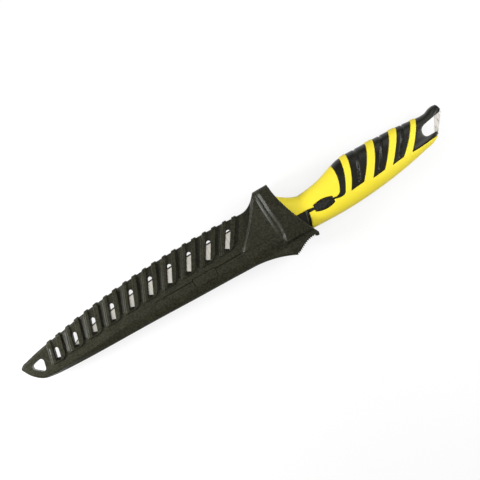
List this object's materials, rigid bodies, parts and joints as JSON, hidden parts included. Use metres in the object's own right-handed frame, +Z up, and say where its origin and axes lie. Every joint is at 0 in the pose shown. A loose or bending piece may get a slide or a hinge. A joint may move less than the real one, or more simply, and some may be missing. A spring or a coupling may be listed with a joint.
{
  "type": "fillet knife",
  "caption": "Flexible fillet knife with a two-tone grip handle, sheathed in a vented moulded sheath with a belt clip.",
  "frame": {"origin": "on the surface it lies on, under the middle of the sheathed knife's bounding box", "axes": "+X from the sheath's tip to the handle's butt, +Y from the blade's spine to its cutting edge, +Z up, out of the sheath's front"},
  "size_m": [0.3166, 0.0494, 0.0275],
  "materials": {
    "blade_steel": "brushed along the blade",
    "yellow_plastic": "satin",
    "grip_rubber": "matt soft-touch",
    "sheath_plastic": "fine moulded grain",
    "clip_plastic": "fine moulded grain",
    "screw_steel": "plain"
  },
  "bodies": {
    "sheath": {"sheath_front_shell": "sheath_plastic", "sheath_back_shell": "sheath_plastic", "clip_base": "clip_plastic", "clip_screw_low": "screw_steel", "clip_screw_high": "screw_steel"},
    "knife": {"blade": "blade_steel", "handle_core": "yellow_plastic", "front_grip": "grip_rubber", "grip_pad_front": "grip_rubber", "grip_pad_middle": "grip_rubber", "grip_pad_rear": "grip_rubber", "butt_cap": "grip_rubber"},
    "clip_leaf": {"belt_clip": "clip_plastic"}
  },
  "joints": [
    {"name": "knife_draw", "type": "slide", "parent": "sheath", "child": "knife", "axis": [1, 0, 0], "range_m": [0, 0.18]},
    {"name": "belt_clip_flex", "type": "hinge", "parent": "sheath", "child": "clip_leaf", "pos_m": [0.03245, 0.0026, 0], "axis": [0, -1, 0], "range_deg": [0, 8], "stiffness_Nm_per_rad": 6}
  ]
}
